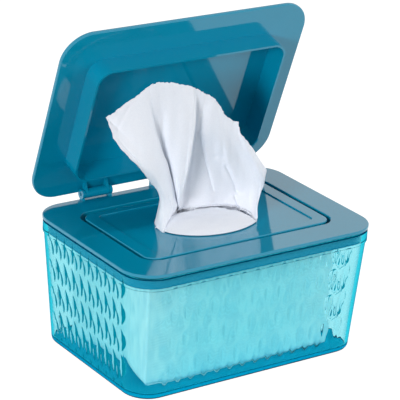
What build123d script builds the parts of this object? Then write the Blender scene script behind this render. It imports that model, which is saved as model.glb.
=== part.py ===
from build123d import *
import math
import os

# Countertop dispenser for a stack of moist wipes: a tapered clear container, a lift-off
# cover with an oval opening, and a hinged lid whose collar seals in a groove around it.
# Millimetres. X runs left to right, Y front to back, Z up from the table.

# ---- driving dimensions ----

# the closed box
width = 185.0
depth = 130.8
height = 87.3  # table to the top of the deck
plan_radius = 21.0

# clearances
soft_clearance = 0.3  # a soft piece to the body that moves past it
fit_clearance = 0.4  # the cover's plug in the container's rim, each side
hinge_side_clearance = 0.3  # knuckle to ear
pin_clearance = 0.05  # radial, pin in the lid's knuckle

# container
wall = 2.4
floor_thickness = 3.0
rim_inset = 0.5  # container rim inside the deck's edge
band_height = 8.0  # smooth band under the deck
band_step = 0.8  # the band stands this far outside the tapered wall
foot_inset = 6.7  # taper: inset of the wall at the table
foot_radius = 17.5
foot_round = 2.5  # rounding of the bottom edge

# cover
deck_plate = 1.8
cover_seal_thickness = 1.0
cover_seal_inset = 1.1  # the seal stays back from the rim's outer face
plug_wall = 1.8
plug_depth = 8.4  # below the deck plate
deck_edge_round = 0.7

# groove around the dispensing panel
groove_half_width = 72.4  # deck side of the groove
groove_front = -44.6
groove_back = 44.3
groove_radius = 11.5
groove_wall = 1.5
groove_floor = 1.6
panel_ledge = 4.5  # the groove's floor carries the panel's rim on this width
lid_seal_thickness = 1.0

# dispensing panel
side_groove = 2.4
front_groove = 2.6
back_groove = 4.0  # the collar swings forward here as the lid opens
panel_radius = 8.5
panel_plate = 2.2
panel_wall = 1.6
panel_edge_round = 0.7
field_half_width = 60.9  # sunk field in the panel
field_half_depth = 34.8
field_radius = 4.0
field_sink = 0.8
field_edge_round = 0.3
opening_half_width = 35.8
opening_half_depth = 26.0
opening_lip = 3.2  # lip below the panel
opening_lip_wall = 1.4
opening_round = 0.5

# lid, drawn closed and then opened
lid_angle = 70.5  # opening angle at rest
lid_side_overhang = 0.45  # lid outside the deck, each side
lid_end_inset = 0.2  # lid inside the deck, front and back
lid_plate = 2.7
lid_radius = 20.5
lid_edge_round = 0.8
crown_rise = 2.2  # raised middle of the lid's outer face
crown_margin = 3.0  # the crown reaches this far outside the collar
crown_round = 1.5
pocket_depth = 2.4  # the inside is sunk this far into the plate
collar_side_clearance = 0.5  # collar to the deck's side of the groove
collar_front_clearance = 0.7
collar_back_clearance = 0.4
collar_wall = 1.4
collar_height = 13.3

# hinges
hinge_spacing = 89.2  # between the middles of the two hinges
ear_gap = 18.6
ear_thickness = 2.0
ear_radius = 3.3
pivot_setback = 1.9  # pivot in front of the deck's back edge
pivot_height = 4.0  # above the deck
pivot_drop = 3.6  # below the lid's plate when closed
knuckle_radius = 3.2
cheek_thickness = 2.0
cheek_reach = 8.0  # cheek in front of the pivot, closed
web_reach = 1.0  # web between the cheeks, in front of the pivot
pin_radius = 1.25
pin_recess = 0.8  # the pin's ends stay inside the ears
stop_width = 4.4  # rest for the closed lid, in the middle of the deck's back edge
stop_depth = 4.6

# wipes
stack_half_width = 71.0
stack_half_depth = 43.5
stack_radius = 5.0
stack_headroom = 11.9  # top of the pile below the deck's top
bulge_half_width = 31.0  # the next wipe, pushed up into the opening
bulge_half_depth = 11.5
bulge_center_y = -11.5
bulge_shrink = 0.85
tail_center_y = 9.0  # the pulled wipe passes the opening here
tail_thickness = 8.0
tail_clearance = 1.5  # tail to the opening's edge
# the pulled wipe over the deck: height, left and right reach, middle, thickness
pulled_wipe_sections = [
    (10.0, -35.0, 40.0, 8.0, 12.0),
    (28.0, -40.0, 47.0, 8.0, 15.0),
    (52.0, -58.0, 32.0, 9.0, 14.0),
    (76.0, -68.0, 7.0, 11.0, 11.0),
    (94.0, -46.0, -22.0, 9.0, 6.0),
]

# ---- places worked out from them ----

deck_top = height
deck_under = deck_top - deck_plate
rim_top = deck_under - cover_seal_thickness - soft_clearance
band_bottom = rim_top - band_height
wall_inset = rim_inset + band_step
rim_inner_inset = wall_inset + wall
plug_inset = rim_inner_inset + fit_clearance

pivot_y = depth / 2 - pivot_setback
pivot_z = deck_top + pivot_height
lid_under = pivot_z + pivot_drop
lid_top = lid_under + lid_plate
lid_width = width + 2 * lid_side_overhang
lid_depth = depth - 2 * lid_end_inset
lid_back = depth / 2 - lid_end_inset
collar_bottom = lid_under - collar_height
collar_entry = deck_top - collar_bottom

lid_seal_top = collar_bottom - soft_clearance
groove_floor_top = lid_seal_top - lid_seal_thickness
groove_floor_under = groove_floor_top - groove_floor

stack_top = deck_top - stack_headroom

panel_half_width = groove_half_width - side_groove
panel_front = groove_front + front_groove
panel_back = groove_back - back_groove

ear_inner = ear_gap / 2
ear_outer = ear_inner + ear_thickness
knuckle_length = ear_gap - 2 * hinge_side_clearance
hinge_centers = (-hinge_spacing / 2, hinge_spacing / 2)


# ---- shapes used by several pieces ----

def plate_outline(inset, radius):
    """The box's plan outline, moved inwards."""
    return RectangleRounded(width - 2 * inset, depth - 2 * inset, radius)


def prism(outline, bottom, top):
    """A plan outline drawn up from one height to another."""
    return extrude(Pos(0, 0, bottom) * outline, top - bottom)


def span_outline(half_width, front, back, radius):
    """A rounded rectangle about X = 0, from front to back."""
    return Pos(0, (front + back) / 2) * RectangleRounded(2 * half_width, back - front, radius)


def edges_at(shape, z):
    """The edges of a shape that lie flat at one height."""
    stations = (0, 0.3, 0.6, 1)
    return shape.edges().filter_by(lambda e: all(abs((e @ t).Z - z) < 1e-4 for t in stations))


def side_profile(profile, center_x, length):
    """A (y, z) profile drawn along X, about its middle."""
    return extrude(Plane.YZ.offset(center_x - length / 2) * profile, length)


def disc(y, z, radius):
    """A circle in the (y, z) profile plane."""
    return Pos(y, z) * Circle(radius)


def hull_of_disc(y, z, radius, points):
    """The outline stretched around a disc and some points, as a gusset is."""
    touching = []
    for py, pz in points:
        reach = math.hypot(py - y, pz - z)
        heading = math.atan2(pz - z, py - y)
        turn = math.acos(min(1.0, radius / reach))
        for angle in (heading + turn, heading - turn):
            touching.append((y + radius * math.cos(angle), z + radius * math.sin(angle)))
    corners = list(points) + touching
    mid_y = sum(p[0] for p in corners) / len(corners)
    mid_z = sum(p[1] for p in corners) / len(corners)
    corners.sort(key=lambda p: math.atan2(p[1] - mid_z, p[0] - mid_y))
    return Polygon(*corners, align=None) + disc(y, z, radius)


# ---- container body ----

def wall_at(z, extra_inset):
    """The container's tapered outline at one height."""
    share = (band_bottom - z) / band_bottom
    inset = wall_inset + (foot_inset - wall_inset) * share + extra_inset
    top_radius = plan_radius - wall_inset
    radius = top_radius + (foot_radius - top_radius) * share - extra_inset
    return Pos(0, 0, z) * plate_outline(inset, radius)


def make_container():
    """The clear outer box: tapered walls, a rounded foot and a smooth band at the rim."""
    sections = []
    for step in range(4):
        angle = math.radians(30 * step)
        sections.append(wall_at(foot_round * (1 - math.sin(angle)), foot_round * (1 - math.cos(angle))))
    sections = sections[::-1] + [wall_at(band_bottom, 0)]
    body = loft(sections, ruled=True)
    body += prism(plate_outline(rim_inset, plan_radius - rim_inset), band_bottom, rim_top)
    cavity = loft([wall_at(floor_thickness, wall), wall_at(band_bottom, wall)], ruled=True)
    mouth = plate_outline(rim_inner_inset, plan_radius - rim_inner_inset)
    cavity += prism(mouth, band_bottom, rim_top)
    return body - cavity


def make_wipe_stack():
    """The pile of folded wipes on the container's floor."""
    outline = RectangleRounded(2 * stack_half_width, 2 * stack_half_depth, stack_radius)
    return prism(outline, floor_thickness, stack_top)


def make_next_wipe():
    """The next wipe's fold, which bulges up into the front of the opening."""
    base = Ellipse(bulge_half_width, bulge_half_depth)
    crown = Ellipse(bulge_half_width * bulge_shrink, bulge_half_depth * bulge_shrink)
    bulge_top = deck_top - panel_plate - opening_lip
    return loft([Pos(0, bulge_center_y, stack_top) * base, Pos(0, bulge_center_y, bulge_top) * crown])


# ---- cover ----

def ear_profile():
    """One hinge ear, standing on the deck's back edge."""
    foot = [(pivot_y - ear_radius, deck_top - deck_plate / 2), (depth / 2 - deck_edge_round,
                                                               deck_top - deck_plate / 2)]
    return hull_of_disc(pivot_y, pivot_z, ear_radius, foot)


def make_cover_frame():
    """The deck with its plug, the groove's trough, the hinge ears and the lid's rest."""
    deck = prism(plate_outline(0, plan_radius), deck_under, deck_top)
    groove = span_outline(groove_half_width, groove_front, groove_back, groove_radius)
    deck -= prism(groove, deck_under, deck_top)
    deck = fillet(edges_at(deck, deck_top), deck_edge_round)

    plug = prism(plate_outline(plug_inset, plan_radius - plug_inset), deck_under - plug_depth, deck_under)
    plug -= prism(plate_outline(plug_inset + plug_wall, plan_radius - plug_inset - plug_wall),
                  deck_under - plug_depth, deck_under)

    trough = prism(span_outline(groove_half_width + groove_wall, groove_front - groove_wall,
                                groove_back + groove_wall, groove_radius + groove_wall),
                   groove_floor_under, deck_under)
    trough -= prism(groove, groove_floor_top, deck_under)
    trough -= prism(span_outline(panel_half_width - panel_ledge, panel_front + panel_ledge,
                                 panel_back - panel_ledge, panel_radius),
                    groove_floor_under, groove_floor_top)
    frame = deck + plug + trough

    for center in hinge_centers:
        for side in (-1, 1):
            frame += side_profile(ear_profile(), center + side * (ear_inner + ear_thickness / 2), ear_thickness)
    stop_top = lid_under - soft_clearance
    stop_back = depth / 2 - deck_edge_round
    stop = Pos(stop_back - stop_depth / 2, (deck_under + stop_top) / 2) * Rectangle(stop_depth,
                                                                                    stop_top - deck_under)
    stop = fillet(stop.vertices().group_by(Axis.Y)[-1], stop_depth / 4)
    frame += side_profile(stop, 0, stop_width)
    bores = side_profile(disc(pivot_y, pivot_z, pin_radius), 0, 2 * (hinge_spacing / 2 + ear_outer))
    return frame - bores


def make_dispensing_panel():
    """The panel inside the groove, with its sunk field and oval opening."""
    outline = span_outline(panel_half_width, panel_front, panel_back, panel_radius)
    panel = prism(outline, groove_floor_top, deck_top)
    panel = fillet(edges_at(panel, deck_top), panel_edge_round)
    inside = span_outline(panel_half_width - panel_wall, panel_front + panel_wall,
                          panel_back - panel_wall, panel_radius - panel_wall)
    panel -= prism(inside, groove_floor_top, deck_top - panel_plate)
    field_floor = deck_top - field_sink
    field = RectangleRounded(2 * field_half_width, 2 * field_half_depth, field_radius)
    panel -= prism(field, field_floor, deck_top)
    lip = Ellipse(opening_half_width + opening_lip_wall, opening_half_depth + opening_lip_wall)
    panel += prism(lip, deck_top - panel_plate - opening_lip, deck_top - panel_plate)
    opening = Ellipse(opening_half_width, opening_half_depth)
    panel -= prism(opening, deck_top - panel_plate - opening_lip, deck_top)
    rim = edges_at(panel, field_floor).filter_by(lambda e: abs((e @ 0.5).X) < field_half_width - field_radius
                                                 and abs((e @ 0.5).Y) < field_half_depth - field_radius)
    panel = fillet(rim, opening_round)
    inner_edge = edges_at(panel, deck_top).filter_by(lambda e: abs((e @ 0.5).X) < field_half_width + 0.01
                                                     and abs((e @ 0.5).Y) < field_half_depth + 0.01)
    return fillet(inner_edge, field_edge_round)


def make_lid_seal():
    """The silicone ring at the bottom of the groove, which the collar meets."""
    outer = span_outline(groove_half_width, groove_front, groove_back, groove_radius)
    inner = span_outline(panel_half_width, panel_front, panel_back, panel_radius)
    return prism(outer, groove_floor_top, lid_seal_top) - prism(inner, groove_floor_top, lid_seal_top)


def make_cover_seal():
    """The flat silicone ring between the deck and the container's rim."""
    outer_inset = rim_inset + cover_seal_inset
    outer = plate_outline(outer_inset, plan_radius - outer_inset)
    inner = plate_outline(plug_inset, plan_radius - plug_inset)
    bottom = deck_under - cover_seal_thickness
    return prism(outer, bottom, deck_under) - prism(inner, bottom, deck_under)


def make_hinge_pin(center):
    """A plain pin, pressed into a pair of ears."""
    length = 2 * (ear_outer - pin_recess)
    return side_profile(disc(pivot_y, pivot_z, pin_radius), center, length)


def make_pulled_wipe():
    """The sheet that stands up in the opening, ready to be taken."""
    tail_back = (tail_center_y + tail_thickness / 2) / opening_half_depth
    tail_reach = opening_half_width * math.sqrt(1 - tail_back ** 2) - tail_clearance
    tail_bottom = stack_top + soft_clearance - deck_top
    tail = [(rise, -tail_reach, tail_reach, tail_center_y, tail_thickness) for rise in (tail_bottom, -field_sink)]
    sections = []
    for rise, left, right, middle, thickness in tail + pulled_wipe_sections:
        outline = Ellipse((right - left) / 2, thickness / 2)
        sections.append(Pos((left + right) / 2, middle, deck_top + rise) * outline)
    return loft(sections)


# ---- lid ----

def collar_outline(offset):
    """The collar's outer outline, grown or shrunk."""
    return span_outline(groove_half_width - collar_side_clearance + offset,
                        groove_front + collar_front_clearance - offset,
                        groove_back - collar_back_clearance + offset,
                        groove_radius - collar_side_clearance + offset)


def make_knuckle(center):
    """The lid's half of one hinge: two cheeks, a barrel and the web behind it."""
    plate_line = lid_under + lid_plate / 2
    back = (lid_back - lid_edge_round, plate_line)
    cheek = hull_of_disc(pivot_y, pivot_z, knuckle_radius,
                         [(pivot_y - cheek_reach, lid_under), (pivot_y - cheek_reach, plate_line), back])
    web = hull_of_disc(pivot_y, pivot_z, knuckle_radius, [(pivot_y - web_reach, plate_line), back])
    knuckle = side_profile(web, center, knuckle_length)
    for side in (-1, 1):
        middle = center + side * (knuckle_length - cheek_thickness) / 2
        knuckle += side_profile(cheek, middle, cheek_thickness)
    return knuckle


def make_lid_shell():
    """The lid: a flat flange, a crowned middle, the sealing collar and the knuckles."""
    lid = prism(RectangleRounded(lid_width, lid_depth, lid_radius), lid_under, lid_top)
    lid = fillet(edges_at(lid, lid_top) + edges_at(lid, lid_under), lid_edge_round)
    crown = prism(collar_outline(crown_margin), lid_top - lid_plate / 2, lid_top + crown_rise)
    lid += fillet(edges_at(crown, lid_top + crown_rise), crown_round)
    lid -= prism(collar_outline(-collar_wall), lid_under, lid_under + pocket_depth)
    collar = prism(collar_outline(0), collar_bottom, lid_under + pocket_depth)
    collar -= prism(collar_outline(-collar_wall), collar_bottom, lid_under + pocket_depth)
    lid += collar
    for center in hinge_centers:
        lid += make_knuckle(center)
    bore_radius = pin_radius + pin_clearance
    bore_length = hinge_spacing + ear_gap
    lid -= side_profile(disc(pivot_y, pivot_z, bore_radius), 0, bore_length)
    return lid


def opened(closed_piece):
    """The lid turned up about its pins from the closed place."""
    return closed_piece.rotate(Axis((0, pivot_y, pivot_z), (1, 0, 0)), -lid_angle)


# ---- build and write ----

pieces = {
    "container": make_container(),
    "wipe_stack": make_wipe_stack(),
    "next_wipe": make_next_wipe(),
    "cover_frame": make_cover_frame(),
    "dispensing_panel": make_dispensing_panel(),
    "lid_seal": make_lid_seal(),
    "cover_seal": make_cover_seal(),
    "hinge_pin_left": make_hinge_pin(hinge_centers[0]),
    "hinge_pin_right": make_hinge_pin(hinge_centers[1]),
    "pulled_wipe": make_pulled_wipe(),
    "lid_shell": opened(make_lid_shell()),
}

os.makedirs("parts", exist_ok=True)
for name, piece in pieces.items():
    export_step(piece, f"parts/{name}.step")
    box = piece.bounding_box()
    print(f"{name:18s} {len(piece.solids())} solid(s) {piece.volume / 1000:8.2f} cm3 "
          f"z {box.min.Z:6.1f} to {box.max.Z:6.1f}")
print(f"pivot y {pivot_y:.2f} z {pivot_z:.2f}, collar enters {collar_entry:.2f}")
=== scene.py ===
import bpy
import math
from mathutils import Matrix, Vector, noise


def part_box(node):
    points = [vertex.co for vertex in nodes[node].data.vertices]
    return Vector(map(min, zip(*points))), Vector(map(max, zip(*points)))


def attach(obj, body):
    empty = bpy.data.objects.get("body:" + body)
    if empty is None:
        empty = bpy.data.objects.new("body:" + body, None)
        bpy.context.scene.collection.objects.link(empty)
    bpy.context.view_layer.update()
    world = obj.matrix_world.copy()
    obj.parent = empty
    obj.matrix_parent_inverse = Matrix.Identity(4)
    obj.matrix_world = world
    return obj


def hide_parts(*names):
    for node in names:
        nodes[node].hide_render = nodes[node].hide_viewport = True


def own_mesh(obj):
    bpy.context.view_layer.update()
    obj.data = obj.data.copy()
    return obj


mm = 0.001
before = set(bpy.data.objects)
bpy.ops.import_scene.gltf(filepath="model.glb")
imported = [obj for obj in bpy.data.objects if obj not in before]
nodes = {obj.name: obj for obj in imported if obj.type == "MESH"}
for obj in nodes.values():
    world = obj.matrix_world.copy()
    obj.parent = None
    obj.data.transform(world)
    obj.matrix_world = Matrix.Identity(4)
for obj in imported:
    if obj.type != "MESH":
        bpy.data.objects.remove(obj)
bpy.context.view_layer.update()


# view

view = {
    "place": (-732.04, -1038.80, 597.27),  # mm
    "azimuth": 34.971,  # degrees from +Y towards +X
    "elevation": 21.402,  # degrees downwards
    "roll": 2.789,
    "framePixels": 400,
    "focalPixels": 2130.8,
    "sensor": 36,
}


def viewAxes():
    azimuth, elevation, roll = (math.radians(view[key]) for key in ("azimuth", "elevation", "roll"))
    ahead = Vector((math.sin(azimuth) * math.cos(elevation), math.cos(azimuth) * math.cos(elevation),
                    -math.sin(elevation)))
    level = Vector((math.cos(azimuth), -math.sin(azimuth), 0))
    upright = level.cross(ahead)
    right = level * math.cos(roll) + upright * math.sin(roll)
    up = upright * math.cos(roll) - level * math.sin(roll)
    return right, up, ahead


def makeCamera():
    right, up, ahead = viewAxes()
    data = bpy.data.cameras.new("camera")
    data.sensor_width = view["sensor"]
    data.lens = view["focalPixels"] / view["framePixels"] * view["sensor"]
    data.clip_end = 20
    camera = bpy.data.objects.new("camera", data)
    camera.matrix_world = Matrix((
        (right.x, up.x, -ahead.x, view["place"][0] * mm),
        (right.y, up.y, -ahead.y, view["place"][1] * mm),
        (right.z, up.z, -ahead.z, view["place"][2] * mm),
        (0, 0, 0, 1)))
    bpy.context.scene.collection.objects.link(camera)
    bpy.context.scene.camera = camera


def seenAt(across, down, planeY, depth):  # the point, in mm, seen at a frame position, on a plane or past it
    right, up, ahead = viewAxes()
    half = view["framePixels"] / 2
    line = ahead + right * (across - half) / view["focalPixels"] + up * (half - down) / view["focalPixels"]
    start = Vector(view["place"])
    return start + line * ((planeY - start.y) / line.y) + line.normalized() * depth


makeCamera()
print("camera made")


# nodes and colours

def linear(hexColour, strength=1.0):
    def channel(part):
        value = int(part, 16) / 255
        return strength * (value / 12.92 if value <= 0.04045 else ((value + 0.055) / 1.055) ** 2.4)
    return tuple(channel(hexColour[i:i + 2]) for i in (1, 3, 5)) + (1.0,)


def addNode(tree, kind, settings=None, links=None):
    node = tree.nodes.new(kind)
    for name, value in (settings or {}).items():
        if isinstance(name, int) or name in node.inputs:
            node.inputs[name].default_value = value
        else:
            setattr(node, name, value)
    for name, socket in (links or {}).items():
        tree.links.new(socket, node.inputs[name])
    return node


def newMaterial(name):
    material = bpy.data.materials.new(name)
    material.use_nodes = True
    material.node_tree.nodes.clear()
    return material, material.node_tree


def finishMaterial(tree, shader):
    addNode(tree, "ShaderNodeOutputMaterial", links={"Surface": shader})


# floor, backdrop and light

studio = {
    "floorSize": 6.0,  # m
    "floorGap": 0.0001,
    "ambient": 0.45,  # world light on the object
    "floorLift": 0.92,  # added to what is seen of the floor, which keeps it white
    "lampTarget": (0, 0, 0.06),
    "keyPlace": (-1.42, -0.78, 0.5),
    "keySize": 0.4,
    "keyPower": 18.0,
    "fillPlace": (1.55, -0.95, 0.5),
    "fillSize": 1.2,
    "fillPower": 22.0,
    "spotPlace": (-1.25, 0.1, 0.13),
    "spotTarget": (-0.07, 0, 0.036),
    "spotPower": 5.0,
    "spotAngle": 10.0,  # degrees across, enough for the container's side alone
    "spotBlend": 0.5,
    "spotSoftness": 0.06,
}


def anyRay(tree, kinds):  # 1 where the ray is of one of these kinds
    path = addNode(tree, "ShaderNodeLightPath")
    found = path.outputs[kinds[0]]
    for kind in kinds[1:]:
        larger = addNode(tree, "ShaderNodeMath", {"operation": "MAXIMUM"}, {0: found, 1: path.outputs[kind]})
        found = larger.outputs[0]
    return found


def hangLamp(name, data, place, target):
    lamp = bpy.data.objects.new(name, data)
    lamp.location = place
    lamp.rotation_euler = (Vector(target) - Vector(place)).to_track_quat("-Z", "Y").to_euler()
    lamp.visible_glossy = False
    lamp.visible_transmission = False
    bpy.context.scene.collection.objects.link(lamp)


def makeSquareLamp(kind):
    data = bpy.data.lights.new(kind + "Lamp", "AREA")
    data.shape = "SQUARE"
    data.size = studio[kind + "Size"]
    data.energy = studio[kind + "Power"]
    hangLamp(kind + "Lamp", data, studio[kind + "Place"], studio["lampTarget"])


def makeSideSpot():  # picks out the grains on the container's left wall
    data = bpy.data.lights.new("sideSpot", "SPOT")
    data.spot_size = math.radians(studio["spotAngle"])
    data.spot_blend = studio["spotBlend"]
    data.shadow_soft_size = studio["spotSoftness"]
    data.energy = studio["spotPower"]
    hangLamp("sideSpot", data, studio["spotPlace"], studio["spotTarget"])


def makeWorld():
    world = bpy.data.worlds.new("studio")
    bpy.context.scene.world = world
    world.use_nodes = True
    tree = world.node_tree
    tree.nodes.clear()
    ambient = addNode(tree, "ShaderNodeBackground",
                      {"Color": linear("#ffffff"), "Strength": studio["ambient"]})
    white = addNode(tree, "ShaderNodeBackground", {"Color": linear("#ffffff"), "Strength": 1.0})
    mixed = addNode(tree, "ShaderNodeMixShader", links={
        0: anyRay(tree, ("Is Camera Ray", "Is Glossy Ray", "Is Transmission Ray")),
        1: ambient.outputs[0], 2: white.outputs[0]})
    addNode(tree, "ShaderNodeOutputWorld", links={"Surface": mixed.outputs[0]})


def paintedBoard():  # matt white board: no gloss, only a soft contact shadow
    material, tree = newMaterial("paintedBoard")
    lift = addNode(tree, "ShaderNodeMath", {"operation": "MULTIPLY", 1: studio["floorLift"]},
                   {0: anyRay(tree, ("Is Camera Ray", "Is Glossy Ray", "Is Transmission Ray"))})
    shader = addNode(tree, "ShaderNodeBsdfPrincipled",
                     {"Base Color": linear("#909090"), "Roughness": 0.9, "Specular IOR Level": 0.1,
                      "Emission Color": linear("#ffffff")},
                     {"Emission Strength": lift.outputs[0]})
    finishMaterial(tree, shader.outputs[0])
    return material


def makeFloor():
    mesh = bpy.data.meshes.new("floor")
    half, top = studio["floorSize"] / 2, -studio["floorGap"]
    corners = [(-half, -half, top), (half, -half, top), (half, half, top), (-half, half, top)]
    mesh.from_pydata(corners, [], [(0, 1, 2, 3)])
    mesh.materials.append(paintedBoard())
    floor = bpy.data.objects.new("floor", mesh)
    bpy.context.scene.collection.objects.link(floor)


makeWorld()
makeFloor()
makeSquareLamp("key")
makeSquareLamp("fill")
makeSideSpot()
print("studio made")


# meshes

def newPiece(name, points, faces, material, smooth=True):  # points in mm
    mesh = bpy.data.meshes.new(name)
    mesh.from_pydata([Vector(p) * mm for p in points], [], faces)
    mesh.update()
    mesh.materials.append(material)
    if smooth:
        mesh.shade_smooth()
    piece = bpy.data.objects.new(name, mesh)
    bpy.context.scene.collection.objects.link(piece)
    return piece


def gridFaces(rows, columns, closed=False):
    faces = []
    for row in range(rows - 1):
        for column in range(columns if closed else columns - 1):
            after = (column + 1) % columns
            faces.append((row * columns + column, row * columns + after,
                          (row + 1) * columns + after, (row + 1) * columns + column))
    return faces


def splineAt(points, t):  # a smooth line through points, t from 0 to 1
    last = len(points) - 1
    step = min(int(t * last), last - 1)
    f = t * last - step
    b, c = points[step], points[step + 1]
    a = points[step - 1] if step > 0 else b + (b - c)
    d = points[step + 2] if step + 2 <= last else c + (c - b)
    bend, twist = 2 * a - 5 * b + 4 * c - d, 3 * b - 3 * c + d - a
    return 0.5 * (2 * b + (c - a) * f + bend * f * f + twist * f ** 3)


def thicken(piece, thickness, offset):  # in mm; offset 0 is both ways, -1 inwards
    solid = piece.modifiers.new("thickness", "SOLIDIFY")
    solid.thickness = thickness * mm
    solid.offset = offset
    bpy.context.view_layer.update()
    mesh = bpy.data.meshes.new_from_object(piece.evaluated_get(bpy.context.evaluated_depsgraph_get()))
    piece.modifiers.clear()
    piece.data = mesh


# materials of the moulded and fixed pieces

def fineNoise(tree, lengthMm, detail=2.0, roughness=0.5):  # a noise whose features are about that long
    place = addNode(tree, "ShaderNodeTexCoord").outputs["Object"]
    return addNode(tree, "ShaderNodeTexNoise",
                   {"Scale": 1 / (lengthMm * mm), "Detail": detail, "Roughness": roughness},
                   {"Vector": place}).outputs["Fac"]


def remap(tree, socket, low, high):
    return addNode(tree, "ShaderNodeMapRange", {"To Min": low, "To Max": high}, {"Value": socket}).outputs[0]


def mouldedAbs():  # ABS, moulded against polished steel: deep colour, wet gloss, a barely wavy skin
    material, tree = newMaterial("mouldedAbs")
    waves = fineNoise(tree, 14.0, 1.0)
    skin = addNode(tree, "ShaderNodeBump", {"Strength": 0.35, "Distance": 0.02 * mm}, {"Height": waves})
    tone = addNode(tree, "ShaderNodeMix",
                   {"data_type": "RGBA", "A": linear("#0085a5"), "B": linear("#008dae")},
                   {"Factor": fineNoise(tree, 60.0)})
    shader = addNode(tree, "ShaderNodeBsdfPrincipled",
                     {"IOR": 1.54, "Specular Tint": linear("#cbf6ff"), "Coat Weight": 0.42,
                      "Coat Roughness": 0.03},
                     {"Base Color": tone.outputs["Result"],
                      "Roughness": remap(tree, fineNoise(tree, 3.0), 0.05, 0.09),
                      "Normal": skin.outputs[0]})
    finishMaterial(tree, shader.outputs[0])
    return material


def castSilicone():  # silicone, cast soft: an even, slightly dusty sheen
    material, tree = newMaterial("castSilicone")
    grain = addNode(tree, "ShaderNodeBump", {"Strength": 0.3, "Distance": 0.02 * mm},
                    {"Height": fineNoise(tree, 0.4)})
    shader = addNode(tree, "ShaderNodeBsdfPrincipled",
                     {"Base Color": linear("#0a4a5c"), "Roughness": 0.5, "IOR": 1.41, "Sheen Weight": 0.1},
                     {"Normal": grain.outputs[0]})
    finishMaterial(tree, shader.outputs[0])
    return material


def drawnSteel():  # stainless wire, drawn: bright, with fine lines along its length
    material, tree = newMaterial("drawnSteel")
    place = addNode(tree, "ShaderNodeTexCoord").outputs["Object"]
    lineLength, lineWidth = 1 / (50 * mm), 1 / (0.125 * mm)
    stretched = addNode(tree, "ShaderNodeMapping", {"Scale": (lineLength, lineWidth, lineWidth)},
                        {"Vector": place})
    lines = addNode(tree, "ShaderNodeTexNoise", {"Scale": 1.0, "Detail": 2.0},
                    {"Vector": stretched.outputs[0]})
    shader = addNode(tree, "ShaderNodeBsdfPrincipled",
                     {"Base Color": linear("#c8ccd0"), "Metallic": 1.0},
                     {"Roughness": remap(tree, lines.outputs["Fac"], 0.15, 0.32)})
    finishMaterial(tree, shader.outputs[0])
    return material


teal = mouldedAbs()
silicone = castSilicone()
steel = drawnSteel()
fixedFinish = {
    "cover_frame": teal, "dispensing_panel": teal, "lid_shell": teal,
    "lid_seal": silicone, "cover_seal": silicone,
    "hinge_pin_left": steel, "hinge_pin_right": steel,
}
for name, material in fixedFinish.items():
    mesh = nodes[name].data
    mesh.materials.clear()
    mesh.materials.append(material)
print("moulded pieces finished")


# container

container = {
    "rimInset": 0.5,  # rim inside the deck's edge
    "bandHeight": 8.0,
    "bandStep": 0.8,
    "bandEdge": 0.4,  # eased edges of the band
    "footInset": 6.7,
    "planRadius": 21.0,
    "footRadius": 17.5,
    "footRound": 2.5,
    "footRings": 5,
    "footEdge": 1.6,
    "footLevel": 0.97,  # how far down a face looks to be the underside, and the foot's edge
    "footSlope": 0.3,
    "wallRings": (0.33, 0.66, 1.0),
    "wall": 2.4,
    "floor": 3.0,
    "floorRound": 1.2,  # fillet between wall and floor, inside
    "floorRings": 4,
    "sideLozenges": 9,
    "frontLozenges": 14,
    "lozengeRows": 4.14,
    "cellWidth": 9.9,
    "stepsPerLozenge": 24,
    "cornerSteps": 14,
    "crispAngle": 30.0,
    "rowSteps": 100,
    "grains": [  # across and up in the cell, steep width, gentle width, half height, lean: two to a lozenge
        (0.20, 0.73, 2.9, 1.4, 5.6, 0.15),
        (0.71, 0.00, 4.4, 1.2, 8.0, 0.05),
    ],
    "grainSlope": 0.24,
    "frontDepth": 0.5,  # the long walls' grains are shallow round dimples
    "frontReach": 3.6,
    "grainsStart": 1.0,  # above the floor
    "fadeLow": 2.0,
    "fadeHigh": 0.4,
}


def containerRing(height, inset, radius, relief, box):
    c = container
    halfX, halfY = box.x - inset, box.y - inset
    plan = []  # the wall's start, its direction, its length and its lozenges
    straightX, straightY = halfX - radius, halfY - radius
    walls = [((-straightX, -halfY), (1, 0), 2 * straightX, c["frontLozenges"]),
             ((halfX, -straightY), (0, 1), 2 * straightY, c["sideLozenges"]),
             ((straightX, halfY), (-1, 0), 2 * straightX, c["frontLozenges"]),
             ((-halfX, straightY), (0, -1), 2 * straightY, c["sideLozenges"])]
    for start, along, length, lozenges in walls:
        steps = lozenges * c["stepsPerLozenge"]
        outward = (along[1], -along[0])
        for i in range(steps + 1):
            across = i / steps
            out = relief(across * lozenges, lozenges) if relief else 0.0
            plan.append((start[0] + along[0] * length * across + outward[0] * out,
                         start[1] + along[1] * length * across + outward[1] * out, height))
        centre = (start[0] + along[0] * length - outward[0] * radius,
                  start[1] + along[1] * length - outward[1] * radius)
        heading = math.atan2(outward[1], outward[0])
        for i in range(1, c["cornerSteps"]):
            angle = heading + math.pi / 2 * i / c["cornerSteps"]
            plan.append((centre[0] + radius * math.cos(angle), centre[1] + radius * math.sin(angle), height))
    return plan


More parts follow.
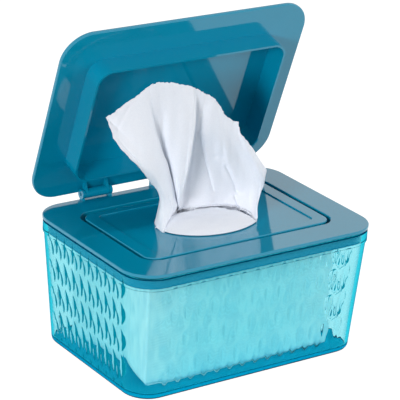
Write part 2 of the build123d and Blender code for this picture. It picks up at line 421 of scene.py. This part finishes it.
def makeContainer():
    c = container
    low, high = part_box("container")
    box = Vector(((high.x - low.x) / mm / 2 + c["rimInset"], (high.y - low.y) / mm / 2 + c["rimInset"]))
    rimTop = high.z / mm
    bandBottom = rimTop - c["bandHeight"]
    topInset = c["rimInset"] + c["bandStep"]
    rowHeight = bandBottom / c["lozengeRows"]

    def taper(height):
        share = (bandBottom - height) / bandBottom
        inset = topInset + (c["footInset"] - topInset) * share
        topRadius = c["planRadius"] - topInset
        return inset, topRadius + (c["footRadius"] - topRadius) * share

    def grains(height):
        row = (height / rowHeight) % 1.0
        start = c["floor"] + c["grainsStart"]
        fade = max(0.0, min(1.0, (height - start) / c["fadeLow"], (bandBottom - height) / c["fadeHigh"]))

        def reliefAt(across, count):
            total = 0.0
            for atAcross, atUp, steep, gentle, halfHeight, lean in c["grains"]:
                up = ((row - atUp + 0.5) % 1.0 - 0.5) * rowHeight
                side = ((across - atAcross + 0.5) % 1.0 - 0.5) * c["cellWidth"] + lean * up
                share = max(0.0, 1 - (up / halfHeight) ** 2)
                if count == c["frontLozenges"]:
                    soft = max(0.0, 1 - (side / c["frontReach"]) ** 2)
                    total += c["frontDepth"] * share * soft * soft
                else:
                    reach = steep if side > 0 else gentle
                    total += c["grainSlope"] * steep * max(0.0, share - abs(side) / reach)
            return -total * fade
        return reliefAt

    rings = []
    for i in range(c["footRings"]):
        angle = math.pi / 2 * i / (c["footRings"] - 1)
        height = c["footRound"] * (1 - math.sin(angle))
        inset, radius = taper(height)
        lift = c["footRound"] * (1 - math.cos(angle))
        rings.append(containerRing(height, inset + lift, radius - lift, None, box))
    rings.reverse()
    for share in c["wallRings"]:
        height = c["footRound"] + (bandBottom - c["footRound"]) * share
        inset, radius = taper(height)
        rings.append(containerRing(height, inset, radius, None, box))
    edge = c["bandEdge"]
    band = [(bandBottom, edge), (bandBottom + edge, 0), (rimTop - 1.5 * edge, 0), (rimTop, edge)]
    for height, back in band:
        inset = c["rimInset"] + back
        rings.append(containerRing(height, inset, c["planRadius"] - c["rimInset"] - back, None, box))
    mouth = topInset + c["wall"]
    inner = [(rimTop, mouth - edge), (rimTop - edge, mouth), (bandBottom, mouth)]
    for height, inset in inner:
        rings.append(containerRing(height, inset, c["planRadius"] - inset, None, box))
    innerFoot = c["floor"] + c["floorRound"]
    for i in range(1, c["rowSteps"]):
        height = bandBottom + (innerFoot - bandBottom) * i / c["rowSteps"]
        inset, radius = taper(height)
        rings.append(containerRing(height, inset + c["wall"], radius - c["wall"], grains(height), box))
    for i in range(c["floorRings"]):
        angle = math.pi / 2 * i / (c["floorRings"] - 1)
        height = c["floor"] + c["floorRound"] * (1 - math.sin(angle))
        back = c["floorRound"] * (1 - math.cos(angle))
        inset, radius = taper(height)
        rings.append(containerRing(height, inset + c["wall"] + back, radius - c["wall"] - back, None, box))
    columns = len(rings[0])
    points = [p for ring in rings for p in ring]
    faces = gridFaces(len(rings), columns, True)
    faces.append(tuple(range(columns))[::-1])
    last = (len(rings) - 1) * columns
    faces.append(tuple(last + i for i in range(columns)))
    piece = newPiece("clearContainer", points, faces, clearStyrene())
    piece.data.set_sharp_from_angle(angle=math.radians(c["crispAngle"]))
    paintContainerLightAndShade(piece.data, bandBottom, rimTop)
    return piece


def paintContainerLightAndShade(mesh, bandBottom, rimTop):  # the underside painted an even cyan that stands in for light carried in the floor plate; painted shade on the foot's edge, on the rim's top edge under the deck and on the band's step
    edge = container["bandEdge"]
    # painted light: the underside's even cyan stands in for the light carried along the floor plate
    mesh.materials.append(paintedStyrene("paintedStyrene", "#00d4e6"))
    # painted shade: dark navy on the foot's edge, under the deck at the rim and at the band's step
    mesh.materials.append(paintedStyrene("styreneEdgeShade", "#003c5e"))
    for face in mesh.polygons:
        heights = [mesh.vertices[v].co.z / mm for v in face.vertices]
        outside = face.normal.dot(Vector((face.center.x, face.center.y, 0))) > 0
        if max(heights) < container["footEdge"] and face.normal.z < -container["footSlope"]:
            face.material_index = 1 if face.normal.z < -container["footLevel"] else 2
        elif outside and min(heights) > rimTop - 2 * edge:
            face.material_index = 2
        elif outside and bandBottom - 0.25 * edge < min(heights) and max(heights) < bandBottom + 1.5 * edge:
            face.material_index = 2


styrene = {
    "ior": 1.57,
    "roughness": 0.02,
    "outerGloss": "#1488b0",
    "innerGloss": "#60e4ee",
    "trapped": "#00ccc8",  # painted glow: an emission that stands in for light that goes round inside the walls
    "trappedAfter": 1.5,  # mirrorings
    "dye": "#00f0f8",
    "dyeDensity": 178.0,  # per metre
}


def clearStyrene():  # tinted SAN, moulded clear: pale where light goes through; where light is trapped in the walls, a painted cyan glow stands in for it
    material, tree = newMaterial("clearStyrene")
    path = addNode(tree, "ShaderNodeLightPath")
    through = addNode(tree, "ShaderNodeBsdfRefraction",
                      {"Color": linear("#ffffff"), "Roughness": styrene["roughness"], "IOR": styrene["ior"]})
    inside = addNode(tree, "ShaderNodeNewGeometry").outputs["Backfacing"]
    outer, inner = linear(styrene["outerGloss"]), linear(styrene["innerGloss"])
    tint = addNode(tree, "ShaderNodeMix", {"data_type": "RGBA", "A": outer, "B": inner}, {"Factor": inside})
    gloss = addNode(tree, "ShaderNodeBsdfGlossy", {"Roughness": styrene["roughness"]},
                    {"Color": tint.outputs["Result"]})
    bounced = addNode(tree, "ShaderNodeFresnel", {"IOR": styrene["ior"]})
    plastic = addNode(tree, "ShaderNodeMixShader",
                      links={0: bounced.outputs[0], 1: through.outputs[0], 2: gloss.outputs[0]})
    clear = addNode(tree, "ShaderNodeBsdfTransparent")
    soft = addNode(tree, "ShaderNodeMath", {"operation": "MAXIMUM"},
                   {0: path.outputs["Is Shadow Ray"], 1: path.outputs["Is Diffuse Ray"]})
    lit = addNode(tree, "ShaderNodeMixShader",
                  links={0: soft.outputs[0], 1: plastic.outputs[0], 2: clear.outputs[0]})
    # painted glow: rays mirrored inside the walls more than trappedAfter times end on a cyan emission instead
    # of carrying light
    trapped = addNode(tree, "ShaderNodeMath", {"operation": "GREATER_THAN", 1: styrene["trappedAfter"]},
                      {0: path.outputs["Glossy Depth"]})
    deep = addNode(tree, "ShaderNodeEmission", {"Color": linear(styrene["trapped"]), "Strength": 1.0})
    surface = addNode(tree, "ShaderNodeMixShader",
                      links={0: trapped.outputs[0], 1: lit.outputs[0], 2: deep.outputs[0]})
    dye = addNode(tree, "ShaderNodeVolumeAbsorption",
                  {"Color": linear(styrene["dye"]), "Density": styrene["dyeDensity"]})
    addNode(tree, "ShaderNodeOutputMaterial", links={"Surface": surface.outputs[0], "Volume": dye.outputs[0]})
    return material


# flat diffuse colour painted on the SAN container: an even cyan underneath, which stands in for the light the
# floor plate carries, and a dark navy at the edges, which is painted shade
def paintedStyrene(name, colour):
    material, tree = newMaterial(name)
    shader = addNode(tree, "ShaderNodeBsdfDiffuse", {"Color": linear(colour), "Roughness": 0.5})
    finishMaterial(tree, shader.outputs[0])
    return material


containerPiece = makeContainer()
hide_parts("container")
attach(containerPiece, "box")
print("container made")


# wipes

# wet spunlace nonwoven, matt and soft: a cool white, uneven from its fibres, which are drawn coarser to show
def spunlace(name, dark, light, causticPatchSize=None):
    material, tree = newMaterial(name)
    place = addNode(tree, "ShaderNodeTexCoord").outputs["Object"]
    fibres = addNode(tree, "ShaderNodeTexNoise", {"Scale": 1 / (0.9 * mm), "Detail": 4.0, "Roughness": 0.6},
                     {"Vector": place})
    bump = addNode(tree, "ShaderNodeBump", {"Strength": 0.25, "Distance": 0.15 * mm},
                   {"Height": fibres.outputs["Fac"]})
    spread = fibres.outputs["Fac"]
    if causticPatchSize:  # painted light: brighter and darker blotches, that wide and that high in mm, stand in for the light the container's grains throw onto the stack
        wide, high = 1 / (causticPatchSize[0] * mm), 1 / (causticPatchSize[1] * mm)
        stretched = addNode(tree, "ShaderNodeMapping", {"Scale": (wide, wide, high)}, {"Vector": place})
        paintedCaustics = addNode(tree, "ShaderNodeTexNoise", {"Scale": 1.0, "Detail": 1.0},
                          {"Vector": stretched.outputs[0]})
        spread = addNode(tree, "ShaderNodeMapRange", {"From Min": 0.35, "From Max": 0.65},
                         {"Value": paintedCaustics.outputs["Fac"]}).outputs[0]
    tone = addNode(tree, "ShaderNodeMix", {"data_type": "RGBA", "A": linear(dark), "B": linear(light)},
                   {"Factor": spread})
    shader = addNode(tree, "ShaderNodeBsdfPrincipled",
                     {"Roughness": 0.85, "Specular IOR Level": 0.3, "Sheen Weight": 0.15,
                      "Subsurface Weight": 0.15, "Subsurface Radius": (0.5, 0.6, 0.7),
                      "Subsurface Scale": 3 * mm},
                     {"Base Color": tone.outputs["Result"], "Normal": bump.outputs[0]})
    finishMaterial(tree, shader.outputs[0])
    return material


# one cloth at two levels: the stack's copy is painted brighter than the wipes outside, standing in for more
# light on the stack, and carries painted caustic blotches
cloth = spunlace("spunlace", "#e0e4ee", "#edf1f8")
brightenedStackCloth = spunlace("stackedSpunlaceBrightened", "#e8f1f5", "#ffffff", (4.5, 13.0))

stack = {
    "wipes": 36,
    "foldOut": 0.06,  # each folded edge bulges this far
    "unevenness": 0.3,
    "unevenSink": 0.6,  # shares of it that the pile stays back, so that it fits
    "unevenOver": 12.0,
    "unevenPerWipe": 0.12,
    "layerHeights": (0.02, 0.3, 0.7, 0.98),  # shares of one wipe's thickness
    "layerPinch": (-1, 0, 0, -1),
    "radius": 2.0,
    "cornerPoints": 7,
    "shoulder": 5.0,  # the top layers droop and round off over this height, the bottom ones over less
    "heel": 4.0,
    "heelRise": 30.0,
    "endHeel": 13.0,  # the folds' ends lift further off the floor
    "cornerDroop": 3.0,
    "cornerReach": 15.0,
    "stepsPerSide": 48,
}


def stackOutline(high):  # points round the pile with the way each one faces
    corners = []
    radius, count = stack["radius"], stack["cornerPoints"]
    for corner, (sideX, sideY) in enumerate(((1, -1), (1, 1), (-1, 1), (-1, -1))):
        middleX, middleY = sideX * (high.x - radius), sideY * (high.y - radius)
        for i in range(count):
            angle = math.pi / 2 * (corner - 1 + i / (count - 1))
            corners.append((middleX + radius * math.cos(angle), middleY + radius * math.sin(angle), angle))
    outline = []
    for i, (x, y, angle) in enumerate(corners):
        outline.append((x, y, angle))
        nextX, nextY = corners[(i + 1) % len(corners)][:2]
        if i % count == count - 1:
            for j in range(1, stack["stepsPerSide"]):
                share = j / stack["stepsPerSide"]
                outline.append((x + (nextX - x) * share, y + (nextY - y) * share, angle))
    return outline


def makeStack():
    low, high = (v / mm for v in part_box("wipe_stack"))
    outline = stackOutline(high)
    reachOver = stack["unevenOver"]
    points = []
    layer = (high.z - low.z) / stack["wipes"]
    for number in range(stack["wipes"]):
        for part, pinch in zip(stack["layerHeights"], stack["layerPinch"]):
            height = low.z + layer * (number + part)
            for x, y, angle in outline:
                spot = Vector((x / reachOver, y / reachOver, number * stack["unevenPerWipe"]))
                wander = stack["unevenness"] * noise.noise(spot)
                along = min(1.0, (high.y - abs(y)) / stack["heelRise"])
                heel = stack["heel"] + (stack["endHeel"] - stack["heel"]) * math.cos(angle) ** 2 * along
                rounding = 0.0
                for reach, gap in ((stack["shoulder"], high.z - height), (heel, height - low.z)):
                    share = max(0.0, 1 - gap / reach)
                    rounding += reach * (1 - math.sqrt(1 - share * share))
                shift = stack["foldOut"] * pinch - rounding + wander
                shift -= stack["unevenness"] * stack["unevenSink"]
                gap = math.hypot(high.x - abs(x), high.y - abs(y)) / stack["cornerReach"]
                droop = stack["cornerDroop"] * math.exp(-gap * gap) * (height - low.z) / (high.z - low.z)
                points.append((x + shift * math.cos(angle), y + shift * math.sin(angle), height - droop))
    columns = len(outline)
    rows = len(points) // columns
    faces = gridFaces(rows, columns, True)
    faces.append(tuple(range(columns))[::-1])
    faces.append(tuple((rows - 1) * columns + i for i in range(columns)))
    return newPiece("foldedWipes", points, faces, brightenedStackCloth)


stackPiece = makeStack()
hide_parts("wipe_stack")
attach(stackPiece, "box")
print("stack made")


# the pulled wipe: ribs run from the opening to the free edge, as frame positions with a depth in mm

pulled = {
    "planeY": 6.0,
    "rows": 160,
    "columnsPerRib": 9,
    "throatDrop": 10.0,  # the gathered foot hangs this far into the opening
    "tuckRows": 8,
    "tuckIn": 0.12,
    "thickness": 0.4,
    "wrinkle": 0.4,
    "creaseSize": (5, 45),  # across and up
    "rumpleSize": (14, 12),
    "crinkleSize": (2.4, 20),
    "acrossSlant": 0.7,
    "creaseAtEnds": 0.4,
    "crinkleAbove": 0.15,
    "crinkleBelow": 0.45,  # share of the height under which the cloth is more crinkled
    "fray": 1.1,  # frame steps
    "frayFrom": 0.985,
    "frayPerWidth": 150,
    "crispness": 6,  # the cut edge has corners, the folds below it are round
    "ribs": [
        [(168, 222, 16), (168, 212, 16), (169, 203, 15), (170, 196, 14), (170, 191, 13), (169, 188, 12)],
        [(156, 223, 6), (158.5, 211, 8), (160, 204, 8), (161.5, 197, 8), (163, 193, 7), (165, 189.5, 6)],
        [(154.9, 223.1, 0), (157.6, 211.6, 2), (159.3, 203.6, 3), (160.4, 196.7, 3), (161, 194, 2),
         (161.6, 192.1, 1)],
        [(157.6, 227.1, -7), (159, 214, -6), (160.5, 204, -5), (159.5, 195, -4), (157, 189, -5),
         (151.3, 182.9, -6)],
        [(160, 229.5, -12), (161.5, 217, -10), (162, 204, -8), (159, 192, -7), (152, 182, -9),
         (140.3, 168, -11)],
        [(162.2, 230.9, -15.5), (163.5, 219, -12), (164.5, 205, -9.5), (160, 190, -9), (148, 172, -11.5),
         (124.8, 153, -10)],
        [(163.5, 230.6, -16.5), (165.4, 221, -13.2), (167.5, 206, -10), (162, 189, -10), (146, 165, -11.5),
         (113.4, 137.6, -3)],
        [(165, 228.5, -15), (167.4, 220.5, -12.4), (170, 208, -10), (164, 187, -9), (145, 157, -9.5),
         (106.3, 117.7, 10.2)],
        [(166.6, 225, -12), (169.2, 217.5, -10), (172, 206, -9), (167, 184, -7), (149, 150, -6.5),
         (115.7, 111.2, 5)],
        [(168.6, 221, -8), (171.4, 213, -7), (174, 205, -7), (170, 180, -4.5), (153, 143, -3.5),
         (129.4, 100.8, 2.5)],
        [(171.2, 216.5, -3), (173.8, 209.5, -5), (175.6, 203, -5), (171, 176, -2), (156, 134, -0.5),
         (144.4, 89.9, 1.2)],
        [(175.5, 213, 4), (176.6, 208, -1), (176.8, 201, -2), (168, 171, 4), (154.5, 126, 3.2),
         (149.5, 86.4, 1.6)],
        [(177.8, 212.5, 7), (177.2, 204, 3), (174.2, 190, 3), (166, 160, 5.5), (158, 120, 3.8),
         (153, 84, 1.2)],
        [(178.2, 212.3, 6), (177.5, 204, -2), (175.2, 190, -2), (168.2, 160, 2.5), (162.5, 120, 2.8),
         (157.5, 82.5, 1.5)],
        [(178.8, 212, 5), (178.2, 203, -4), (176.8, 190, -6), (172.5, 160, -2.5), (168.5, 120, -0.5),
         (163.5, 82.3, 1)],
        [(179.6, 211.8, 5), (179.2, 203, -5), (179.3, 190, -9), (179, 160, -6.5), (177.5, 120, -4),
         (171, 82.2, -1)],
        [(180.4, 211.5, 5), (180, 203, -4), (181.6, 190, -9), (186, 160, -9.5), (188.5, 120, -8),
         (182, 84.2, -4)],
        [(181, 211.3, 6), (180.7, 203, -2), (183, 190, -7), (189.7, 160, -10), (195.2, 120, -9.5),
         (193, 87.5, -6)],
        [(182, 210.8, 6.5), (182, 203, 7), (183.5, 190, 8), (189.5, 160, 6), (194.5, 122, -1),
         (197, 89.2, -5)],
        [(189, 210.2, 4), (190, 202, 6), (191.5, 190, 7), (194.5, 160, 6), (198, 124, -2), (201, 91, -5)],
        [(208, 208, 1.5), (209.5, 202, 3), (211.5, 190, 4), (204, 160, 4), (200.8, 128, -2),
         (205.2, 93.4, -5)],
        [(213, 207.8, 0), (215, 202, 2.5), (215, 190, 3), (207.5, 160, 2), (203.5, 128, -4),
         (209.5, 95.4, -6)],
        [(224, 207, -3), (225, 201, 0), (226, 188, 0), (217, 160, -1), (211, 128, -7), (213.8, 97.4, -8)],
        [(236, 209.6, -11), (234.5, 200, -5), (236, 188, -4), (225, 160, -6), (219.5, 130, -9),
         (217.5, 102.5, -9)],
        [(240, 211.4, -15), (238, 202, -9), (240, 190, -7), (228.5, 160, -8.5), (224, 135, -10),
         (220.7, 107.1, -9)],
        [(245, 213.5, -19.5), (243.5, 203, -14), (245, 188, -11), (235, 160, -11), (229, 136, -11),
         (225.9, 115.8, -10)],
        [(249, 216, -24.5), (248, 205, -18), (249, 188, -14), (241, 162, -13), (234, 139, -13),
         (232.8, 120.3, -12)],
        [(252.5, 218.5, -29.5), (251.5, 207, -22), (252, 188, -16.5), (246, 165, -15.5), (239, 143, -15.5),
         (237.7, 121.8, -14.5)],
        [(254.8, 220.8, -32.5), (253.8, 208, -24), (254.5, 189, -18.5), (250, 168, -18), (243.5, 147, -18),
         (239.9, 132.4, -17)],
        [(256, 221.5, -34), (255.6, 209, -25), (257, 190, -20), (254, 171, -20.5), (248, 152, -21),
         (244.2, 137.6, -19.5)],
        [(256.7, 219.8, -33), (256.6, 209, -25), (258.8, 192, -21), (257.5, 176, -22.5), (254, 160, -24),
         (252.3, 148.5, -22)],
        [(256.9, 217.3, -31), (257, 206, -24.5), (260.3, 193.2, -21.5), (263.8, 186, -24),
         (264.7, 178.3, -26),
         (266.4, 169.7, -25)],
        [(253, 217, 4), (253, 206, 2), (254, 195, 0), (256, 187, -5), (257, 180, -8), (257, 174, -12)],
    ],
    "tucked": {  # between these ribs the foot turns under itself: shares of the height, depths in mm
        "from": 11.0, "to": 27.0, "low": 0.018, "high": 0.065, "under": 4.2, "over": 3.8, "ragged": 1.7,
        "raggedPerWidth": 60,
    },
    "foldLines": [  # frame positions, depth in mm, half width in frame steps
        ([(130.6, 102.6), (123, 118), (116.8, 130)], 0.9, 1.1),
        ([(118.5, 139.5), (127, 149.5), (135, 157.5), (141, 166)], 0.8, 0.9),
        ([(214, 156.5), (218.5, 155), (223.5, 157.6)], 0.5, 1.4),
        ([(226, 166), (233, 180), (236, 190)], 1.3, 1.6),
        ([(233.9, 195.5), (236, 200), (237.9, 206)], 1.2, 1.0),
        ([(168, 196), (171, 204), (173, 210)], 0.8, 0.8),
        ([(199, 132), (204.5, 156), (210, 178), (213, 190)], 0.8, 1.8),
    ],
}


def lineGap(line, across, down):  # shortest distance from a frame position to a broken line
    best = 1e9
    for (x0, y0), (x1, y1) in zip(line, line[1:]):
        runX, runY = x1 - x0, y1 - y0
        share = ((across - x0) * runX + (down - y0) * runY) / (runX * runX + runY * runY)
        share = max(0.0, min(1.0, share))
        best = min(best, math.hypot(across - x0 - runX * share, down - y0 - runY * share))
    return best


def tuckDepth(rib, at, up):  # how far the turned-under foot stands back or forward
    t = pulled["tucked"]
    inside = max(0.0, min(1.0, rib - t["from"], t["to"] - rib))
    low = t["low"] * (1 + t["ragged"] * noise.noise(Vector((at * t["raggedPerWidth"], 0.5, 2.2))))
    under = inside * t["under"] * math.exp(-((up - low) / low) ** 2)
    over = inside * t["over"] * math.exp(-((up - t["high"]) / low) ** 2)
    return under, over


def wipePoints():
    p = pulled
    ribs = [[Vector(station) for station in rib] for rib in p["ribs"]]
    columns = (len(ribs) - 1) * p["columnsPerRib"] + 1
    points = []
    for row in range(p["rows"] + 1):
        up = row / p["rows"]
        stations = [splineAt(rib, up) for rib in ribs]
        crisp = up ** p["crispness"]
        for column in range(columns):
            at = column / (columns - 1)
            rib = at * (len(ribs) - 1)
            step = min(int(rib), len(ribs) - 2)
            straight = stations[step].lerp(stations[step + 1], rib - step)
            spot = splineAt(stations, at).lerp(straight, crisp)
            for line, depth, width in p["foldLines"]:
                spot.z += depth * math.exp(-(lineGap(line, spot.x, spot.y) / width) ** 2)
            under, over = tuckDepth(rib, at, up)
            spot.z += under
            spot.z -= over
            if up > p["frayFrom"]:
                spot.x += p["fray"] * noise.noise(Vector((at * p["frayPerWidth"], 1.5, 0.3)))
                spot.y += p["fray"] * noise.noise(Vector((at * p["frayPerWidth"], 7.5, 0.3)))
            points.append(seenAt(spot.x, spot.y, p["planeY"], spot.z))
    foot = points[:columns]
    tuck = []
    for drop in range(p["tuckRows"], 0, -1):
        share = drop / p["tuckRows"]
        for point in foot:
            inward = Vector((-point.x, -point.y, 0)) * p["tuckIn"] * share
            tuck.append(point + inward + Vector((0, 0, -p["throatDrop"] * share)))
    return tuck + points, p["rows"] + 1 + p["tuckRows"], columns


def wrinkleNoise(size, across, height, seed):
    return noise.noise(Vector((across / size[0], height / size[1], seed)))


def makePulledWipe():
    p = pulled
    points, rows, columns = wipePoints()
    piece = newPiece("pulledWipe", points, gridFaces(rows, columns), cloth)
    normals = [v.normal.copy() for v in piece.data.vertices]
    for index, vertex in enumerate(piece.data.vertices):
        up = max(0.0, (index // columns - p["tuckRows"]) / p["rows"])
        across, height = (vertex.co.x - p["acrossSlant"] * vertex.co.y) / mm, vertex.co.z / mm
        creases = wrinkleNoise(p["creaseSize"], across, height, 3.1)
        creases *= p["creaseAtEnds"] + (1 - p["creaseAtEnds"]) * math.sin(math.pi * up)
        rumple = wrinkleNoise(p["rumpleSize"], across, height, 8.7)
        crinkles = wrinkleNoise(p["crinkleSize"], across, height, 5.9)
        crinkles *= p["crinkleAbove"] + max(0.0, p["crinkleBelow"] - up)
        vertex.co += normals[index] * (creases + rumple + crinkles) * p["wrinkle"] * mm
    thicken(piece, p["thickness"], 0)
    return piece


wipe = makePulledWipe()
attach(wipe, "cover")
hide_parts("pulled_wipe")
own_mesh(wipe)
print("pulled wipe made")


# the fold that fills the front of the opening

throat = {
    "halfWidth": 35.8,
    "halfDepth": 26.0,
    "profile": [  # share of the opening, height
        (0.965, -6.0), (0.97, -2.0), (0.99, 0.0), (1.04, 0.45), (1.055, 0.9), (1.03, 1.6),
        (0.98, 2.4), (0.88, 3.6), (0.7, 4.9), (0.45, 5.6), (0.2, 5.7), (0.0, 5.7),
    ],
    "fieldSunk": 0.8,
    "crease": [
        (-46, 0), (-26, 5), (-14, 5.2), (-2, 5.8), (6, 3.4),
        (13, -0.2), (17, -7), (21, -12), (25, -20), (29, -30),
    ],
    "creaseSteps": 48,
    "jags": 1.3,
    "jagSizes": (2.6, 1.1),
    "fineJags": 0.6,
    "sinkStart": 0.6,  # behind the crease
    "sinkSoftness": 0.22,
    "sinkDepth": 3.0,  # below the field, where the sinking ends
    "rippleFrom": 2.0,
    "ripple": 0.35,
    "rippleSize": (7, 5),
    "around": 320,
    "rings": 100,
    "middleGap": 0.001,  # share of the profile left out, so that the innermost ring stays a ring
    "dip": 11.0,
    "thickness": 0.4,
}


def creaseOffset(x, y):  # how far a point is behind the crease
    line = [Vector((a, b, 0)) for a, b in throat["crease"]]
    best = 1e9
    side = 1
    steps = throat["creaseSteps"]
    for i in range(steps):
        a, b = splineAt(line, i / steps), splineAt(line, (i + 1) / steps)
        run = b - a
        share = max(0.0, min(1.0, ((x - a.x) * run.x + (y - a.y) * run.y) / run.length_squared))
        gap = math.hypot(x - a.x - run.x * share, y - a.y - run.y * share)
        if gap < best:
            best = gap
            side = 1 if run.x * (y - a.y) - run.y * (x - a.x) > 0 else -1
    return side * best


def makeThroatFold():
    t = throat
    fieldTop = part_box("dispensing_panel")[1].z / mm - t["fieldSunk"]
    profile = [Vector((a, b, 0)) for a, b in t["profile"]]
    coarse, fine = t["jagSizes"]
    points = []
    for ring in range(t["rings"]):
        at = splineAt(profile, ring / (t["rings"] - 1) * (1 - t["middleGap"]))
        for i in range(t["around"]):
            angle = 2 * math.pi * i / t["around"]
            x = t["halfWidth"] * at.x * math.cos(angle)
            y = t["halfDepth"] * at.x * math.sin(angle)
            jag = noise.noise(Vector((x / coarse, y / coarse, 4.4)))
            jag += t["fineJags"] * noise.noise(Vector((x / fine, y / fine, 6.1)))
            behind = creaseOffset(x, y) + t["jags"] * jag
            sunk = 1 / (1 + math.exp(-(behind - t["sinkStart"]) / t["sinkSoftness"])) * t["dip"]
            sunk *= min(1.0, max(0.0, at.y + t["sinkDepth"]) / t["sinkDepth"])
            ripple = t["ripple"] * noise.noise(Vector((x / t["rippleSize"][0], y / t["rippleSize"][1], 1.7)))
            ripple *= min(1.0, max(0.0, at.y) / t["rippleFrom"])
            points.append((x, y, fieldTop + at.y - sunk + ripple))
    faces = gridFaces(t["rings"], t["around"], True)
    last = (t["rings"] - 1) * t["around"]
    faces.append(tuple(last + i for i in range(t["around"])))
    piece = newPiece("throatFold", points, faces, cloth)
    thicken(piece, t["thickness"], -1)
    return piece


fold = makeThroatFold()
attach(fold, "cover")
print("throat fold made")


# the next wipe's fold on top of the stack, under the opening

nextWipe = {
    "around": 120,
    "rings": 26,
    "profile": [(1.0, 0.0), (1.0, 1.6), (0.97, 3.8), (0.9, 5.4), (0.7, 6.2), (0.35, 6.4), (0.0, 6.4)],
    "ripple": 0.5,
    "folds": 5,
    "foldSlant": 0.06,
    "rumple": 0.3,
    "rumpleSize": (6, 4),
    "stillBelow": 3.0,
}


def makeNextWipe():
    n = nextWipe
    low, high = (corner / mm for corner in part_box("next_wipe"))
    middle, half = (low + high) / 2, (high - low) / 2
    profile = [Vector((a, b, 0)) for a, b in n["profile"]]
    points = []
    for ring in range(n["rings"]):
        at = splineAt(profile, ring / n["rings"])
        for i in range(n["around"]):
            angle = 2 * math.pi * i / n["around"]
            x, y = half.x * at.x * math.cos(angle), half.y * at.x * math.sin(angle)
            fold = n["ripple"] * (math.sin(n["folds"] * math.pi * y / half.y + n["foldSlant"] * x) - 1)
            rumple = n["rumple"] * noise.noise(Vector((x / n["rumpleSize"][0], y / n["rumpleSize"][1], 5.3)))
            lively = min(1.0, at.y / n["stillBelow"])
            points.append((middle.x + x, middle.y + y, low.z + at.y + lively * (fold + rumple)))
    faces = gridFaces(n["rings"], n["around"], True)
    last = (n["rings"] - 1) * n["around"]
    faces.append(tuple(last + i for i in range(n["around"])))
    return newPiece("nextWipe", points, faces, cloth)


nextFold = makeNextWipe()
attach(nextFold, "box")
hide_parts("next_wipe")
print("next wipe made")


bpy.context.scene.view_settings.view_transform = "Standard"
bpy.context.view_layer.update()
